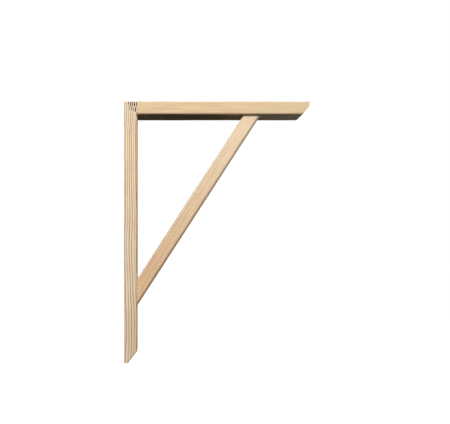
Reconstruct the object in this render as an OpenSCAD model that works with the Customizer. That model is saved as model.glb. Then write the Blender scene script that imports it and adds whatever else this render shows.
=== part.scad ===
// Wooden shelf bracket: an upright that lies against the wall, an arm that carries the shelf, and a
// diagonal brace between them. The upright and the arm meet in a glued wedge-finger joint.
// Frame: +X points out from the wall, Y runs along the wall, +Z is up. The origin is the centre of the
// upright's face that lies against the wall. Sizes are in millimetres.

/* [Overall] */
// Height of the upright, from the shelf down to its tip
bracket_height = 400; // [360:10:500]
// Reach of the arm, from the wall to its nose
bracket_reach = 283; // [260:1:340]

/* [Bars] */
// Width of the upright and of the arm, seen from the side of the bracket
bar_width = 20; // [19:1:26]
// Depth of the upright and of the arm, along the wall
bar_depth = 20; // [16:1:40]
// Radius of the eased long edges of all three bars
arris_radius = 2.5; // [0.5:0.1:3.5]
// Number of flats that each eased edge is planed in
arris_flats = 5; // [1:1:8]

/* [Sawn ends] */
// Slope of the slanting cut at the nose and at the tip, measured from level
end_slope = 52; // [40:1:60]
// Height of the upright part of the nose, above its slanting cut
nose_height = 7; // [4:0.5:14]
// Width of the level part of the tip, beside the wall
tip_width = 6; // [3:0.5:12]

/* [Brace] */
// Width of the brace, seen from the side of the bracket
brace_width = 22.5; // [12:0.5:24]
// Depth of the brace along the wall, where it is centred in the bars
brace_depth = 12; // [8:1:16]
// Distance from the wall to where the brace's upper edge meets the arm
brace_out = 183; // [140:0.5:200]
// Drop from the shelf to where the brace's upper edge meets the upright
brace_drop = 271.5; // [200:0.5:272]

/* [Finger joint] */
// Number of wedge fingers that the upright sends up into the arm
finger_count = 4; // [2:1:5]
// Width of the plain part of the upright's top, beside the wall
plain_width = 7; // [4:0.5:8]
// Width of the blunt end of each finger
finger_end = 0.6; // [0.3:0.1:0.7]
// Wood of the arm left above the upright's first finger
cover_first = 1.2; // [0.8:0.1:1.6]
// Wood of the arm left above the upright's last finger
cover_last = 1.6; // [0.8:0.1:1.8]
// Depth of the arm's first finger, below the shelf
bite_first = 14; // [8:0.5:14.5]
// Height of the plain shoulder under the last finger, at the upright's inner face
shoulder = 3; // [3:0.5:5]
// Share of a finger's pitch between the last finger's middle and the inner face
last_share = 0.3; // [0.3:0.05:0.5]

/* [Hidden] */

shelf_z = bracket_height / 2;              // level of the arm's top face
soffit_z = shelf_z - bar_width;            // level of the arm's underside
tip_z = -bracket_height / 2;               // level of the upright's tip
tip_rise = (bar_width - tip_width) * tan(end_slope);
nose_rise = bar_width - nose_height;
nose_back = nose_rise / tan(end_slope);

pitch = (bar_width - plain_width) / (finger_count + last_share);
clear_of_ease = 0.5;                       // least shoulder left above the eased inner edge
bite_last = bar_width - max(shoulder, arris_radius + clear_of_ease);
bite_step = (bite_last - bite_first) / finger_count;
cover_step = (cover_last - cover_first) / max(1, finger_count - 1);

brace_run = brace_out - bar_width;
brace_fall = brace_drop - bar_width;
brace_angle = atan2(brace_fall, brace_run);
brace_length = norm([brace_run, brace_fall]);
brace_spare = 3 * brace_width;             // extra length that the level and plumb cuts remove

// One finger of the joint line, from the bottom of the slot beside it up to the finger's blunt end
function finger_line(i) =
    let (slot_x = plain_width + (i - 0.5) * pitch,
         slot_z = shelf_z - bite_first - (i - 1) * bite_step,
         end_x = slot_x + pitch / 2,
         end_z = shelf_z - cover_first - (i - 1) * cover_step,
         half = finger_end / 2)
    [[slot_x - half, slot_z], [slot_x + half, slot_z], [end_x - half, end_z], [end_x + half, end_z]];

// The zigzag line where the two bars meet, from the top face beside the wall to the inner corner
joint_line = [
    [plain_width, shelf_z],
    for (i = [1 : finger_count]) each finger_line(i),
    [bar_width, shelf_z - bite_last],
    [bar_width, soffit_z]
];

// The joint line from the inner corner back to the top face
joint_line_back = [for (i = [len(joint_line) - 1 : -1 : 0]) joint_line[i]];

upright_outline = concat(
    [[0, tip_z], [0, shelf_z]],
    joint_line,
    [[bar_width, tip_z + tip_rise], [tip_width, tip_z]]
);

arm_outline = concat(
    [
        [bracket_reach, shelf_z],
        [bracket_reach, shelf_z - nose_height],
        [bracket_reach - nose_back, soffit_z]
    ],
    joint_line_back
);

// An outline in the plane of the bracket, given a depth that is centred on that plane
module across(outline, depth) {
    rotate([90, 0, 0])
        linear_extrude(depth, center = true)
            polygon(outline);
}

// Section of a bar, centred, whose four edges are planed round in narrow flats
module eased_section(width, depth) {
    polygon([
        for (corner = [0 : 3], flat = [0 : arris_flats])
            let (turn = 90 * (corner + flat / arris_flats),
                 side_x = (corner == 0 || corner == 3) ? 1 : -1,
                 side_y = corner < 2 ? 1 : -1)
            [
                side_x * (width / 2 - arris_radius) + arris_radius * cos(turn),
                side_y * (depth / 2 - arris_radius) + arris_radius * sin(turn)
            ]
    ]);
}

// A bar of eased section that stands on the XY plane, with its near side at x = 0
module standing_bar(width, depth, length) {
    translate([width / 2, 0, 0])
        linear_extrude(length)
            eased_section(width, depth);
}

// A level bar of eased section from the wall outwards, with its top face on the shelf level
module level_bar(width, depth, length) {
    translate([0, 0, shelf_z - width])
        rotate([0, 90, 0])
            mirror([1, 0, 0])
                standing_bar(width, depth, length);
}

// The upright: eased bar below the arm, and a finger end whose edges are eased only outside
module upright() {
    color("burlywood")
        intersection() {
            across(upright_outline, bar_depth);
            union() {
                translate([0, 0, tip_z])
                    standing_bar(bar_width, bar_depth, bracket_height - bar_width);
                corner_block();
            }
        }
}

// The square where the bars meet: eased along the top face and down the wall side
module corner_block() {
    intersection() {
        level_bar(2 * bar_width, bar_depth, bar_width);
        translate([0, 0, soffit_z])
            standing_bar(2 * bar_width, bar_depth, bar_width);
    }
}

// The arm: eased bar with its nose cut, and fingers that hang between the upright's
module arm() {
    color("wheat")
        intersection() {
            across(arm_outline, bar_depth);
            union() {
                level_bar(2 * bar_width, bar_depth, bar_width);
                translate([bar_width, 0, 0])
                    level_bar(bar_width, bar_depth, bracket_reach - bar_width);
            }
        }
}

// The brace: eased bar on the slope, cut level under the arm and plumb against the upright
module brace() {
    color("tan")
        intersection() {
            translate([bar_width, 0, shelf_z - brace_drop])
                rotate([0, 90 - brace_angle, 0])
                    translate([0, 0, -brace_spare])
                        standing_bar(brace_width, brace_depth, brace_length + 2 * brace_spare);
            translate([bar_width, -bar_depth / 2, tip_z])
                cube([bracket_reach, bar_depth, soffit_z - tip_z]);
        }
}

upright();
arm();
brace();
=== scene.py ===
import math

import bpy
import numpy as np
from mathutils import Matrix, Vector


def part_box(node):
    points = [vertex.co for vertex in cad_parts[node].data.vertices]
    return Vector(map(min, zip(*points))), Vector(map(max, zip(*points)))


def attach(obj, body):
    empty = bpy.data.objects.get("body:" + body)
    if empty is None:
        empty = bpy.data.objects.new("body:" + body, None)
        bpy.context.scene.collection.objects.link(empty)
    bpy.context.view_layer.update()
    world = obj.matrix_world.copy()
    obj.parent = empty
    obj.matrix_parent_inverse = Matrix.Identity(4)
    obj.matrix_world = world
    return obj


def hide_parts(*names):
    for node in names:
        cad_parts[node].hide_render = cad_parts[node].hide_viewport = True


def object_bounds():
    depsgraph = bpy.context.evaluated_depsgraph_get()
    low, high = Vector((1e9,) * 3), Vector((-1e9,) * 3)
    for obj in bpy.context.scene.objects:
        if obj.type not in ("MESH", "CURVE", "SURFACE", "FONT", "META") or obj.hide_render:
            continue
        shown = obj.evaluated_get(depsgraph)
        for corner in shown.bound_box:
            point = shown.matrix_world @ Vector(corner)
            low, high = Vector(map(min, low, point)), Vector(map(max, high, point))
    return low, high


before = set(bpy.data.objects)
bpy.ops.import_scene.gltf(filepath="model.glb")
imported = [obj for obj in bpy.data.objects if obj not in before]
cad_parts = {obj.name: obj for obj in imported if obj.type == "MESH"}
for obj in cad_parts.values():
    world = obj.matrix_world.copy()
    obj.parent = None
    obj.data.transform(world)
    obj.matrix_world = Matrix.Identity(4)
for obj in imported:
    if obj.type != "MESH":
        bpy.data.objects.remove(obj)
cad_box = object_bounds()

# --- Upright ------------------------------------------------------------------------------------
# A square batten of planed pine that lies against the wall, with its long edges sanded round. Its
# foot is sawn level beside the wall and then on a slant, and its top is cut into wedge fingers that
# are glued between the arm's.
MM = 0.001
upright_low, upright_high = (np.round(np.array(corner) / MM, 3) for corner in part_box("upright"))
arm_low, arm_high = (np.round(np.array(corner) / MM, 3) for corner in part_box("arm"))
bar = upright_high[0]                # width of both bars, seen from the side
half_depth = upright_high[1]         # half their depth along the wall
shelf = upright_high[2]              # level of the arm's top face
soffit = arm_low[2]                  # level of the arm's underside
foot = upright_low[2]                # level of the upright's tip
plain_top = arm_low[0]               # plain part of the upright's top, beside the wall
arris = 2.5                          # radius of the eased long edges
saw_ease = 0.45                      # radius left on the edges of the sawn ends
end_slope = math.radians(52)         # slant of the sawn ends, from level
tip_width = 6.0                      # level part of the foot

finger_count = 4
finger_end = 0.6                     # width of a finger's blunt end
covers = np.linspace(1.2, 1.6, finger_count)               # arm wood above each finger
bites = np.linspace(14.0, 17.0, finger_count + 1)          # depth of each slot, then of the shoulder
last_share = 0.3                     # share of a pitch between the last finger and the inner face
finger_pitch = (bar - plain_top) / (finger_count + last_share)
slot_x = plain_top + (np.arange(finger_count) + 0.5) * finger_pitch
end_x = slot_x + finger_pitch / 2
blunt = finger_end / 2
upright_mark_back = 3.2              # from an upright's tip back to the middle of its dark mark
arm_mark_back = 2.6                  # the same from an arm's tip
run_mark_in = 0.9                    # from the inner face in to the glue run under the shoulder
run_mark_down = 5.0                  # from the shoulder down to the middle of that run
mark_half_width = 0.86
mark_half_height = 3.9
tip_glue = np.concatenate([
    [0.8], np.linspace(0.95, 1.0, finger_count),           # the upright's tips, all full of glue
    [0.3, 0.6, 0.7, 1.0],                                  # the arm's tips, fuller outwards
    [0.55],                                                # the run under the shoulder
])
joint_x = np.concatenate([
    [plain_top],
    np.stack([slot_x - blunt, slot_x + blunt, end_x - blunt, end_x + blunt], axis=1).ravel(),
    [bar],
])
joint_z = shelf - np.concatenate([
    [0.0],
    np.stack([bites[:-1], bites[:-1], covers, covers], axis=1).ravel(),
    bites[-1:],
])
# Mesh stations along the joint line, with each of its stretches in quarters.
joint_knots = np.arange(len(joint_x))
joint_stations = np.interp(np.linspace(0, joint_knots[-1], 4 * joint_knots[-1] + 1),
                           joint_knots, joint_x)
edge_steps = 8                       # mesh points round an eased edge
face_cells = 14                      # mesh cells across a bar, between its eased edges
layers = 11                          # mesh points through the depth of the upright and the arm


def eased(distance, radius):
    """How far a face steps back near an eased edge: the radius less the height of its quarter
    circle at that distance from the edge."""
    inset = np.clip(1 - distance / radius, 0, 1)
    return radius * (1 - np.sqrt(1 - inset ** 2))


def stations(width):
    """Places across a bar: close together round both eased edges, as a quarter circle is stepped in
    equal turns, and even between them."""
    rise = arris * (1 - np.cos(np.linspace(0, math.pi / 2, edge_steps)))
    return np.concatenate([rise, np.linspace(arris, width - arris, face_cells + 1)[1:-1],
                           width - rise[::-1]])


def arris_radius_at(along):
    """Radius of an edge eased by hand: the nominal one, times one plus two sine waves along the bar,
    about 145 mm and 57 mm long."""
    long_wave = 0.07 * np.sin(along / 23.0)
    short_wave = 0.05 * np.sin(along / 9.1 + 1.3)
    return arris * (1 + long_wave + short_wave)


def bars_half_depth(x, z, cut_distance):
    """Half depth of the upright and the arm at a point of the bracket's plane: the full half depth,
    less the easing for the distance to the wall side, the top or the inner corner's two sides, or
    the small easing for the distance to a sawn end, whichever is more."""
    inner = np.hypot(np.maximum(bar - x, 0), np.maximum(z - soffit, 0))
    long_edge = np.minimum(np.minimum(x, shelf - z), inner)
    return half_depth - np.maximum(eased(long_edge, arris_radius_at(x + z)),
                                   eased(cut_distance, saw_ease))


def joint_distance(x, z):
    """Shortest distance to the zigzag line where the two bars meet: the least over its segments of
    the distance to the nearest point, found by projection and held between the segment's ends."""
    start = np.stack([joint_x, joint_z], axis=-1)
    start = np.vstack([start, [bar, soffit]])
    step = np.diff(start, axis=0)
    to_point = np.stack([x, z], axis=-1)[..., None, :] - start[:-1]
    share = np.clip((to_point * step).sum(-1) / (step ** 2).sum(-1), 0, 1)
    return np.linalg.norm(to_point - share[..., None] * step, axis=-1).min(-1)


def lattice_piece(name, x, y, z):
    """A closed piece from a lattice of points: the outer points of the block, numbered once, and
    the squares on its six sides, turned outwards. The lattice's three axes are right-handed."""
    inside = np.zeros(x.shape, bool)
    inside[1:-1, 1:-1, 1:-1] = True
    number = np.cumsum(~inside.ravel()).reshape(x.shape) - 1
    quads = []
    for axis in range(3):
        turned = np.transpose(number, ((axis + 1) % 3, (axis + 2) % 3, axis))
        for end, order in ((-1, (0, 1, 2, 3)), (0, (3, 2, 1, 0))):
            side = turned[:, :, end]
            square = np.stack([side[:-1, :-1], side[1:, :-1], side[1:, 1:], side[:-1, 1:]], axis=-1)
            quads.append(square.reshape(-1, 4)[:, order])
    points = np.stack([x, y, z], axis=-1)[~inside]
    mesh = bpy.data.meshes.new(name)
    mesh.from_pydata((points * MM).tolist(), [], np.concatenate(quads).tolist())
    mesh.shade_smooth()
    mesh.set_sharp_from_angle(angle=math.radians(35))
    piece = bpy.data.objects.new(name, mesh)
    bpy.context.scene.collection.objects.link(piece)
    return piece, points


def tip_reach(x, z):
    """How near a point is to a finger's tip, 0 at the middle of its mark and 1 at the mark's rim:
    the least over all tips of a squared-off ellipse's radius, centred back inside the finger. The
    glue run under the shoulder counts as one more tip. With it comes how full of glue the nearest
    tip is."""
    tip_x = np.concatenate([[plain_top], end_x, slot_x, [bar - run_mark_in]])
    tip_z = shelf - np.concatenate([[0.0], covers, bites])
    back = np.repeat([-upright_mark_back, arm_mark_back, -run_mark_down],
                     [finger_count + 1, finger_count, 1])
    reach = (((x[..., None] - tip_x) / mark_half_width) ** 4
             + ((z[..., None] - tip_z - back) / mark_half_height) ** 4) ** 0.25
    return reach.min(-1), tip_glue[reach.argmin(-1)]


def keep_values(piece, name, values):
    """Keeps one number for each point of a piece, for its material."""
    kept = piece.data.attributes.new(name, "FLOAT", "POINT")
    kept.data.foreach_set("value", values.astype(np.float32))


def add_glue_marks(piece, points):
    """Keeps each point's distance from the glue line, in millimetres, its reach from a tip, and how
    full of glue that tip is. The marks lie on the front and the back alone, so a point in between
    them is given a reach past every mark."""
    past_marks = 3.0
    on_side = abs(points[:, 1]) > half_depth - arris
    keep_values(piece, "glue_distance", joint_distance(points[:, 0], points[:, 2]))
    reach, glue = tip_reach(points[:, 0], points[:, 2])
    keep_values(piece, "tip_reach", np.where(on_side, reach, past_marks))
    keep_values(piece, "tip_glue", glue)


def upright_lattice():
    """Across, through and along the upright. A point's level runs from the sawn foot under it, up
    even rows, to the joint line over it. The rows crowd towards both ends as powers of an even
    step, and a point's depth is a share of the half depth there."""
    least_step = 0.02
    foot_zone, foot_rows = 32.0, 22
    joint_zone, joint_rows = 4.0, 30
    even_rows = 270
    across = np.unique(np.round(np.concatenate([stations(bar), joint_stations, [tip_width]]), 3))
    across = across[np.append(True, np.diff(across) > least_step)]
    bottom = foot + np.maximum(across - tip_width, 0) * math.tan(end_slope)
    bottom += eased(across, saw_ease)
    top = np.interp(across, joint_x, joint_z)
    low_row, high_row = foot + foot_zone, soffit - joint_zone
    start = np.linspace(0, 1, foot_rows) ** 2
    finish = 1 - (1 - np.linspace(0, 1, joint_rows)) ** 1.6
    rows = np.concatenate([
        bottom[:, None] + (low_row - bottom[:, None]) * start,
        np.tile(np.linspace(low_row, high_row, even_rows)[1:-1], (len(across), 1)),
        high_row + (top[:, None] - high_row) * finish,
    ], axis=1)
    through = np.linspace(-1, 1, layers)
    x = np.broadcast_to(across[:, None, None], (len(across), layers, rows.shape[1]))
    z = np.broadcast_to(rows[:, None, :], x.shape)
    slant = (z - foot) * math.cos(end_slope) - (x - tip_width) * math.sin(end_slope)
    cut = np.maximum(np.minimum(z - foot, slant), 0)
    return x, through[None, :, None] * bars_half_depth(x, z, cut), z


upright, upright_points = lattice_piece("upright_batten", *upright_lattice())
add_glue_marks(upright, upright_points)
# The grey tint darkens the inner arris, and lies as painted shade in a thinner line along the sawn
# foot.
foot_lead = 0.7
from_inner = np.where(upright_points[:, 2] < shelf - bites[-1],
                      np.maximum(bar - upright_points[:, 0], half_depth - abs(upright_points[:, 1])),
                      bar)
from_slant = ((upright_points[:, 2] - foot) * math.cos(end_slope)
              - (upright_points[:, 0] - tip_width) * math.sin(end_slope))
keep_values(upright, "arris_distance", np.minimum.reduce([
    from_inner, np.maximum(from_slant, 0) + foot_lead]))


def linear(code):
    """An sRGB hex colour as the linear values that a shader takes."""
    part = np.array([int(code[i:i + 2], 16) for i in (1, 3, 5)]) / 255
    part = np.where(part <= 0.04045, part / 12.92, ((part + 0.055) / 1.055) ** 2.4)
    return (*part.tolist(), 1.0)


def add(tree, kind, inputs=None, **settings):
    """Adds a node to a tree, with its settings, and a value or a link for each input named."""
    node = tree.nodes.new(kind)
    for name, value in settings.items():
        setattr(node, name, value)
    for socket, value in (inputs or {}).items():
        if isinstance(value, bpy.types.NodeSocket):
            tree.links.new(value, node.inputs[socket])
        else:
            node.inputs[socket].default_value = value
    return node


def planed_pine(name, grain_turn, pith, first_ring, rings_per_mm, ring_drift, swell_depth, early,
                far_early, tone_span, late, ring_strength, streaks, grey_full, grey_end, grey, glued):
    """Planed and sanded pine, bare of varnish: a pale, satin, faintly ridged face. Growth rings are
    circles about a far pith line, and one of them passes first_ring millimetres beyond the part's
    origin: pale earlywood that darkens slowly to a thin latewood edge and stops there. The
    earlywood's tone drifts from early to far_early over tone_span along the grain.
    A grey tint multiplies the wood, in full where the distance kept for it is under grey_full and
    not at all past grey_end, both in millimetres.
    Where glued is true, the joint line shows as scorched, glue-filled strokes."""
    material = bpy.data.materials.new(name)
    material.use_nodes = True
    tree = material.node_tree
    tree.nodes.clear()
    place = add(tree, "ShaderNodeTexCoord").outputs["Object"]
    # Millimetres, turned so that the third axis runs along the grain, and centred on the pith line.
    grain = add(tree, "ShaderNodeMapping", {
        "Vector": place, "Scale": (1 / MM,) * 3, "Rotation": (0, grain_turn, 0),
    }).outputs[0]
    centred = add(tree, "ShaderNodeVectorMath", {0: grain, 1: (-pith[0], -pith[1], 0)})
    split = add(tree, "ShaderNodeSeparateXYZ", {0: centred.outputs[0]})
    flat = add(tree, "ShaderNodeCombineXYZ", {0: split.outputs[0], 1: split.outputs[1]})
    radius = add(tree, "ShaderNodeVectorMath", {0: flat.outputs[0]}, operation="LENGTH")
    # The trunk's slow swellings make the rings wander. They are so many millimetres across, deep
    # and long.
    swell_width, swell_reach, swell_length = 60, 120, 130
    swell_place = add(tree, "ShaderNodeVectorMath", {
        0: grain, 1: (1 / swell_width, 1 / swell_reach, 1 / swell_length),
    }, operation="MULTIPLY")
    swell = add(tree, "ShaderNodeTexNoise", {
        "Vector": swell_place.outputs[0], "Scale": 1.0, "Detail": 2.0, "Roughness": 0.4,
    })
    swollen = add(tree, "ShaderNodeMath", {
        0: swell.outputs[0], 1: swell_depth, 2: radius.outputs["Value"],
    }, operation="MULTIPLY_ADD")
    from_face = add(tree, "ShaderNodeMath", {
        0: swollen.outputs[0], 1: math.hypot(*pith) + swell_depth / 2 + first_ring,
    }, operation="SUBTRACT")
    rate = add(tree, "ShaderNodeMath", {0: split.outputs[2], 1: ring_drift, 2: rings_per_mm},
               operation="MULTIPLY_ADD")
    phase = add(tree, "ShaderNodeMath", {0: from_face.outputs[0], 1: rate.outputs[0]},
                operation="MULTIPLY")
    share = add(tree, "ShaderNodeMath", {0: phase.outputs[0]}, operation="FRACT")
    year = add(tree, "ShaderNodeMath", {0: phase.outputs[0]}, operation="FLOOR")
    rise = add(tree, "ShaderNodeMapRange", {
        "Value": share.outputs[0], "From Min": 0.45, "From Max": 0.88,
    }, interpolation_type="SMOOTHSTEP")
    fall = add(tree, "ShaderNodeMapRange", {
        "Value": share.outputs[0], "From Min": 0.92, "From Max": 1.0, "To Min": 1.0, "To Max": 0.0,
    }, interpolation_type="SMOOTHSTEP")
    latewood = add(tree, "ShaderNodeMath", {0: rise.outputs[0], 1: fall.outputs[0]},
                   operation="MULTIPLY")
    season = add(tree, "ShaderNodeTexWhiteNoise", {"W": year.outputs[0]}, noise_dimensions="1D")
    season_strength = add(tree, "ShaderNodeMapRange", {
        "Value": season.outputs["Value"], "To Min": 0.55 * ring_strength, "To Max": ring_strength,
    })
    ring = add(tree, "ShaderNodeMath", {0: latewood.outputs[0], 1: season_strength.outputs[0]},
               operation="MULTIPLY")
    # Fibres are a few hundredths of a millimetre wide, drawn here as much wider streaks, so that
    # they show.
    streak_width, streak_length = 1.5, 40
    fibre_place = add(tree, "ShaderNodeVectorMath", {
        0: grain, 1: (1 / streak_width, 1 / streak_width, 1 / streak_length),
    }, operation="MULTIPLY")
    fibre = add(tree, "ShaderNodeTexNoise", {
        "Vector": fibre_place.outputs[0], "Scale": 1.0, "Detail": 3.0, "Roughness": 0.5,
    })
    streak = add(tree, "ShaderNodeMapRange", {
        "Value": fibre.outputs[0], "From Min": 0.3, "From Max": 0.7,
        "To Min": streaks[0], "To Max": streaks[1],
    })
    # Sap mottles the wood, rosy in some patches and straw-coloured in others.
    blotch_width, blotch_length = 9, 30
    blotch_place = add(tree, "ShaderNodeVectorMath", {
        0: grain, 1: (1 / blotch_width, 1 / blotch_width, 1 / blotch_length),
    }, operation="MULTIPLY")
    blotch = add(tree, "ShaderNodeTexNoise", {
        "Vector": blotch_place.outputs[0], "Scale": 1.0, "Detail": 2.0,
    })
    rosiness = add(tree, "ShaderNodeMapRange", {
        "Value": blotch.outputs[0], "From Min": 0.35, "From Max": 0.65,
    })
    sap = add(tree, "ShaderNodeMix", {
        "Factor": rosiness.outputs[0], 6: linear("#DDCC98"), 7: linear("#E8BC98"),
    }, data_type="RGBA")
    drift = add(tree, "ShaderNodeMapRange", {
        "Value": split.outputs[2], "From Min": tone_span[0], "From Max": tone_span[1],
    })
    earlywood = add(tree, "ShaderNodeMix", {
        "Factor": drift.outputs[0], 6: linear(early), 7: linear(far_early),
    }, data_type="RGBA")
    wood = add(tree, "ShaderNodeMix", {
        "Factor": ring.outputs[0], 6: earlywood.outputs[2], 7: linear(late),
    }, data_type="RGBA")
    sappy = add(tree, "ShaderNodeMix", {
        "Factor": 0.3, 6: wood.outputs[2], 7: sap.outputs[2],
    }, data_type="RGBA")
    streaked = add(tree, "ShaderNodeVectorMath", {
        0: sappy.outputs[2], "Scale": streak.outputs[0],
    }, operation="SCALE")
    # Sawn ends cut the fibres across: they drink in light, look browner, and show every ring.
    facing = add(tree, "ShaderNodeVectorMath", {
        0: add(tree, "ShaderNodeNewGeometry").outputs["Normal"],
        1: (-math.sin(grain_turn), 0, math.cos(grain_turn)),
    }, operation="DOT_PRODUCT")
    cut_share = add(tree, "ShaderNodeMath", {0: facing.outputs["Value"]}, operation="ABSOLUTE")
    end_grain = add(tree, "ShaderNodeMapRange", {
        "Value": cut_share.outputs[0], "From Min": 0.35, "From Max": 0.6,
    }, interpolation_type="SMOOTHSTEP")
    sawn = add(tree, "ShaderNodeMix", {
        "Factor": end_grain.outputs[0], 6: streaked.outputs[0], 7: linear("#DCC6A8"),
    }, data_type="RGBA", blend_type="MULTIPLY")
    end_ring = add(tree, "ShaderNodeMath", {0: latewood.outputs[0], 1: end_grain.outputs[0]},
                   operation="MULTIPLY")
    colour = add(tree, "ShaderNodeMix", {
        "Factor": end_ring.outputs[0], 6: sawn.outputs[2], 7: linear("#B08A5E"),
    }, data_type="RGBA").outputs[2]
    # A grey tint darkens the arrises that face down and inwards, and the arm's whole underside. It is
    # painted shade on the arm's underside, along the brace's lower arris and along the upright's sawn
    # foot.
    rim = add(tree, "ShaderNodeAttribute", attribute_name="arris_distance")
    greyed = add(tree, "ShaderNodeMapRange", {
        "Value": rim.outputs["Fac"], "From Min": grey_full, "From Max": grey_end, "To Min": 1.0,
        "To Max": 0.0,
    }, interpolation_type="SMOOTHSTEP")
    colour = add(tree, "ShaderNodeMix", {
        "Factor": greyed.outputs[0], 6: colour, 7: linear(grey),
    }, data_type="RGBA", blend_type="MULTIPLY").outputs[2]
    if glued:
        gap = add(tree, "ShaderNodeAttribute", attribute_name="glue_distance")
        seam = add(tree, "ShaderNodeMapRange", {
            "Value": gap.outputs["Fac"], "From Min": 0.05, "From Max": 0.24, "To Min": 0.85,
            "To Max": 0.0,
        }, interpolation_type="SMOOTHSTEP")
        reach = add(tree, "ShaderNodeAttribute", attribute_name="tip_reach")
        mark = add(tree, "ShaderNodeMapRange", {
            "Value": reach.outputs["Fac"], "From Min": 0.75, "From Max": 1.05, "To Min": 1.0,
            "To Max": 0.0,
        }, interpolation_type="SMOOTHSTEP")
        fullness = add(tree, "ShaderNodeAttribute", attribute_name="tip_glue")
        filled = add(tree, "ShaderNodeMath", {0: mark.outputs[0], 1: fullness.outputs["Fac"]},
                     operation="MULTIPLY")
        scorch = add(tree, "ShaderNodeMath", {0: seam.outputs[0], 1: filled.outputs[0]},
                     operation="MAXIMUM")
        # Round the strokes the squeezed glue has sealed the wood, and it has stayed pale there.
        sealed = add(tree, "ShaderNodeMapRange", {
            "Value": reach.outputs["Fac"], "From Min": 1.2, "From Max": 2.1, "To Min": 0.6,
            "To Max": 0.0,
        }, interpolation_type="SMOOTHSTEP")
        paled = add(tree, "ShaderNodeMix", {
            "Factor": sealed.outputs[0], 6: colour, 7: linear("#F1E2C6"),
        }, data_type="RGBA")
        colour = add(tree, "ShaderNodeMix", {
            "Factor": scorch.outputs[0], 6: paled.outputs[2], 7: linear("#41270A"),
        }, data_type="RGBA").outputs[2]
    height = add(tree, "ShaderNodeMath", {0: fibre.outputs[0], 1: 0.5, 2: ring.outputs[0]},
                 operation="MULTIPLY_ADD")
    relief = add(tree, "ShaderNodeBump", {
        "Height": height.outputs[0], "Strength": 0.5, "Distance": 0.03 * MM,
    })
    # Latewood is the harder wood, and planes smoother.
    roughness = add(tree, "ShaderNodeMapRange", {
        "Value": ring.outputs[0], "To Min": 0.78, "To Max": 0.62,
    })
    surface = add(tree, "ShaderNodeBsdfPrincipled", {
        "Base Color": colour, "Roughness": roughness.outputs[0], "IOR": 1.5,
        "Specular IOR Level": 0.04, "Normal": relief.outputs[0],
    })
    add(tree, "ShaderNodeOutputMaterial", {"Surface": surface.outputs[0]})
    return material


# Quarter-sawn: the rings stand nearly square to the front, 3 mm apart at the top and nearly 4 mm at
# the foot, so they show as upright lines.
upright.data.materials.append(planed_pine(
    "planed_pine_quarter_sawn", grain_turn=0.0, pith=(-110.0, 25.0), first_ring=1.8,
    rings_per_mm=0.295, ring_drift=0.00018, swell_depth=14.0, early="#FFE7C9",
    far_early="#FEE7C8", tone_span=(foot, shelf), late="#5E3C20", ring_strength=1.0,
    streaks=(0.86, 1.06), grey_full=1.4, grey_end=3.0, grey="#D8D5D0", glued=True))
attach(upright, "root")
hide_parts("upright")

# --- Arm ----------------------------------------------------------------------------------------
# The level batten that carries the shelf, of the same planed pine. Its wedge fingers hang between
# the upright's and are glued there. The nose is sawn plumb and then back on a slant.
nose = arm_high[0]
nose_height = 7.0                    # plumb part of the nose
nose_back = (bar - nose_height) / math.tan(end_slope)
step_width = 0.04                    # lean of the shoulder's plumb side, which keeps it one surface
inner_zone = 6.0                     # stretch of close rows next to the upright
nose_zone = 1.0                      # stretch of close rows at the plumb nose


def arm_lattice():
    """Along, through and up the arm. A point's level is a share of the height from the joint line,
    the underside or the slanting cut below it, up to the top face. The rows crowd towards the
    upright and the nose as powers of an even step."""
    inner_rows, even_rows, slant_rows, nose_rows = 12, 235, 16, 9
    inner_gap, slant_gap, nose_gap = 0.5, 1.0, 0.2      # from each stretch of rows to the next
    over_joint = joint_stations.copy()
    over_joint[0] += step_width
    along = np.concatenate([
        over_joint,
        bar + step_width + np.linspace(0, 1, inner_rows) ** 1.5 * inner_zone,
        np.linspace(bar + inner_zone + inner_gap, nose - nose_back - slant_gap, even_rows),
        np.linspace(nose - nose_back, nose - nose_zone - nose_gap, slant_rows),
        nose - nose_zone + np.linspace(0, 1, nose_rows) ** 0.5 * nose_zone,
    ])
    bottom = np.where(along <= bar, np.interp(along, joint_x, joint_z), soffit)
    bottom = np.maximum(bottom, soffit + (along - nose + nose_back) * math.tan(end_slope))
    share = stations(bar) / bar
    levels = bottom[:, None] + (shelf - bottom[:, None]) * share
    through = np.linspace(-1, 1, layers)
    z = np.broadcast_to(levels[:, None, :], (len(along), layers, len(share)))
    x = np.broadcast_to(along[:, None, None], z.shape)
    slant = ((z - shelf + nose_height) * math.cos(end_slope) - (x - nose) * math.sin(end_slope))
    cut = np.maximum(np.minimum(nose - x, slant), 0)
    return x, through[None, :, None] * bars_half_depth(x, z, cut), z


arm, arm_points = lattice_piece("arm_batten", *arm_lattice())
add_glue_marks(arm, arm_points)
# The grey tint covers the arm's whole underside: painted shade, darker than the lamps leave it.
keep_values(arm, "arris_distance",
            np.where(arm_points[:, 0] > bar, arm_points[:, 2] - soffit, bar))
# Flat-sawn from near the bark, where the rings lie wide and faint along the face.
arm.data.materials.append(planed_pine(
    "planed_pine_flat_sawn", grain_turn=-math.pi / 2, pith=(-60.0, -150.0), first_ring=0.0,
    rings_per_mm=0.13, ring_drift=0.0001, swell_depth=6.0, early="#E7CAA4",
    far_early="#E0CBA8", tone_span=(160.0, nose), late="#C79E6C", ring_strength=0.25,
    streaks=(0.9, 1.08), grey_full=0.0, grey_end=0.9, grey="#A2A6AE", glued=True))
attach(arm, "root")
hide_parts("arm")

# --- Brace --------------------------------------------------------------------------------------
# A thinner batten, set back from both faces, that props the arm off the upright. It is sawn level
# under the arm and plumb against the upright, and glued there with no fixing in sight.
brace_high = np.round(np.array(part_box("brace")[1]) / MM, 3)
brace_width = 22.5
brace_foot_z = -71.5                 # where its upper edge meets the upright
brace_head_x = 183.0                 # where its upper edge meets the arm
brace_slope = math.atan2(soffit - brace_foot_z, brace_head_x - bar)


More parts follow.
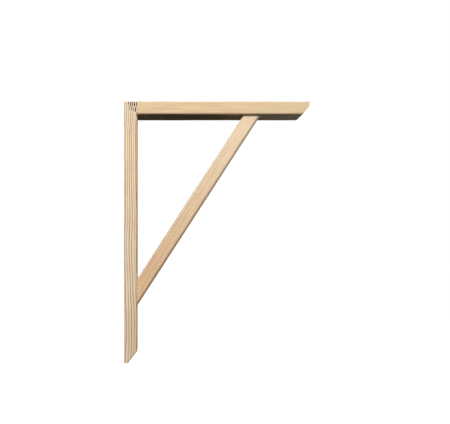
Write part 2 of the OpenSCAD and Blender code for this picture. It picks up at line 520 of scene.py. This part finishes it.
def brace_lattice():
    """Across, through and along the brace. Each line along it runs from the upright's face to the
    arm's underside, and its depth falls off round the two eased edges on each face."""
    rows, brace_layers = 280, 9
    wave_start = 40                  # so that its eased edges don't wave in step with the upright's
    across = stations(brace_width)
    first = -across * math.tan(brace_slope)
    last = (soffit - brace_foot_z + across * math.cos(brace_slope)) / math.sin(brace_slope)
    along = first[:, None] + (last - first)[:, None] * np.linspace(0, 1, rows)
    through = np.linspace(-1, 1, brace_layers)
    run = np.broadcast_to(along[:, None, :], (len(across), brace_layers, rows))
    width = np.broadcast_to(across[:, None, None], run.shape)
    edge = np.minimum(width, brace_width - width)
    y = through[None, :, None] * (brace_high[1] - eased(edge, arris_radius_at(run + wave_start)))
    x = bar + width * math.sin(brace_slope) + run * math.cos(brace_slope)
    z = brace_foot_z - width * math.cos(brace_slope) + run * math.sin(brace_slope)
    return x, y, z


brace, brace_points = lattice_piece("brace_batten", *brace_lattice())
brace_across = ((brace_points[:, 0] - bar) * math.sin(brace_slope)
                - (brace_points[:, 2] - brace_foot_z) * math.cos(brace_slope))
# The grey tint along the brace's lower arris is painted shade: a band that stands for its shaded
# lower side.
keep_values(brace, "arris_distance",
            np.maximum(brace_width - brace_across, brace_high[1] - abs(brace_points[:, 1])))
# Warmer wood with fine, even rings that run close together along it.
brace.data.materials.append(planed_pine(
    "planed_pine_rift_sawn", grain_turn=brace_slope - math.pi / 2, pith=(-90.0, -60.0),
    first_ring=0.0, rings_per_mm=0.34, ring_drift=0.0001, swell_depth=3.0, early="#ECC4A0",
    far_early="#FFEBD0", tone_span=(-50.0, 250.0), late="#A87440", ring_strength=0.85,
    streaks=(0.88, 1.13), grey_full=2.0, grey_end=4.6, grey="#AEB2B4", glued=False))
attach(brace, "root")
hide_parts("brace")

# --- Studio -------------------------------------------------------------------------------------
# The bracket hangs from its wall face over a pale floor, under a dim sky that gives nothing from
# below. A broad soft box stands in front of it, up and to the left, and another behind it. A small
# one on the right and a faint fill low on the right keep the faces that turn away from going black.
floor_drop = 1.2
floor_half = 30.0
floor_mesh = bpy.data.meshes.new("studio_floor")
floor_mesh.from_pydata(
    [(-floor_half, -floor_half, -floor_drop), (floor_half, -floor_half, -floor_drop),
     (floor_half, floor_half, -floor_drop), (-floor_half, floor_half, -floor_drop)],
    [], [(0, 1, 2, 3)])
floor = bpy.data.objects.new("studio_floor", floor_mesh)
bpy.context.scene.collection.objects.link(floor)
floor_material = bpy.data.materials.new("pale_studio_floor")
floor_material.use_nodes = True
floor_tree = floor_material.node_tree
floor_tree.nodes.clear()
rays = add(floor_tree, "ShaderNodeLightPath")
seen = add(floor_tree, "ShaderNodeMath", {
    0: rays.outputs["Is Camera Ray"], 1: rays.outputs["Is Glossy Ray"],
}, operation="MAXIMUM")
seen_floor = add(floor_tree, "ShaderNodeAddShader", {
    0: add(floor_tree, "ShaderNodeBsdfDiffuse", {"Color": linear("#F2F2F2")}).outputs[0],
    1: add(floor_tree, "ShaderNodeEmission", {"Color": (1, 1, 1, 1), "Strength": 0.7}).outputs[0],
})
unseen_floor = add(floor_tree, "ShaderNodeBsdfDiffuse", {"Color": linear("#161616")})
add(floor_tree, "ShaderNodeOutputMaterial", {"Surface": add(floor_tree, "ShaderNodeMixShader", {
    0: seen.outputs[0], 1: unseen_floor.outputs[0], 2: seen_floor.outputs[0],
}).outputs[0]})
floor_mesh.materials.append(floor_material)


def soft_lamp(name, place, aim, size, energy):
    """A square soft box at a place, turned to face the point it is aimed at."""
    lamp_data = bpy.data.lights.new(name, "AREA")
    lamp_data.shape = "SQUARE"
    lamp_data.size = size
    lamp_data.energy = energy
    lamp = bpy.data.objects.new(name, lamp_data)
    bpy.context.scene.collection.objects.link(lamp)
    lamp.location = place
    direction = aim - place
    lamp.rotation_euler = direction.to_track_quat("-Z", "Y").to_euler()
    lamp.visible_camera = False


middle = Vector(((cad_box[0][i] + cad_box[1][i]) / 2 for i in range(3)))
soft_lamp("front_soft_box", middle + Vector((-0.25, -1.45, 0.95)), middle, size=1.1, energy=29.3)
soft_lamp("rear_soft_box", middle + Vector((-0.6, 1.7, 1.1)), middle, size=1.2, energy=24.0)
soft_lamp("right_soft_box", middle + Vector((1.4, -0.3, 0.5)), middle, size=0.6, energy=4.0)
soft_lamp("low_right_fill", middle + Vector((0.45, 0.0, 0.02)), middle + Vector((0.1, 0.0, 0.1)),
          size=0.12, energy=0.78)

world = bpy.data.worlds.new("studio_sky")
bpy.context.scene.world = world
world.use_nodes = True
sky = world.node_tree
sky.nodes.clear()
sky_rays = add(sky, "ShaderNodeLightPath")
seen_sky = add(sky, "ShaderNodeMath", {
    0: sky_rays.outputs["Is Camera Ray"], 1: sky_rays.outputs["Is Glossy Ray"],
}, operation="MAXIMUM")
seen_or_through = add(sky, "ShaderNodeMath", {
    0: seen_sky.outputs[0], 1: sky_rays.outputs["Is Transmission Ray"],
}, operation="MAXIMUM")
up = add(sky, "ShaderNodeSeparateXYZ", {0: add(sky, "ShaderNodeTexCoord").outputs["Generated"]})
overhead = add(sky, "ShaderNodeMapRange", {
    "Value": up.outputs[2], "From Min": 0.0, "From Max": 0.3, "To Min": 0.0, "To Max": 0.36,
})
dim = add(sky, "ShaderNodeBackground", {"Color": (1, 1, 1, 1), "Strength": overhead.outputs[0]})
white = add(sky, "ShaderNodeBackground", {"Color": (1, 1, 1, 1), "Strength": 1.0})
add(sky, "ShaderNodeOutputWorld", {"Surface": add(sky, "ShaderNodeMixShader", {
    0: seen_or_through.outputs[0], 1: dim.outputs[0], 2: white.outputs[0],
}).outputs[0]})

# The camera looks straight at the bracket's side, and its frame is shifted up and to the right.
camera_back = 0.3808                 # from the bracket's front face to the camera
camera_data = bpy.data.cameras.new("camera")
camera_data.lens = 20.0
camera_data.sensor_width = 36.0
camera_data.shift_x = 0.1604
camera_data.shift_y = 0.0955
camera_data.clip_start = 0.01
camera = bpy.data.objects.new("camera", camera_data)
bpy.context.scene.collection.objects.link(camera)
camera.location = (0.044, cad_box[0][1] - camera_back, -0.0348)
camera.rotation_euler = (math.pi / 2, 0, 0)
bpy.context.scene.camera = camera
bpy.context.scene.view_settings.view_transform = "Standard"
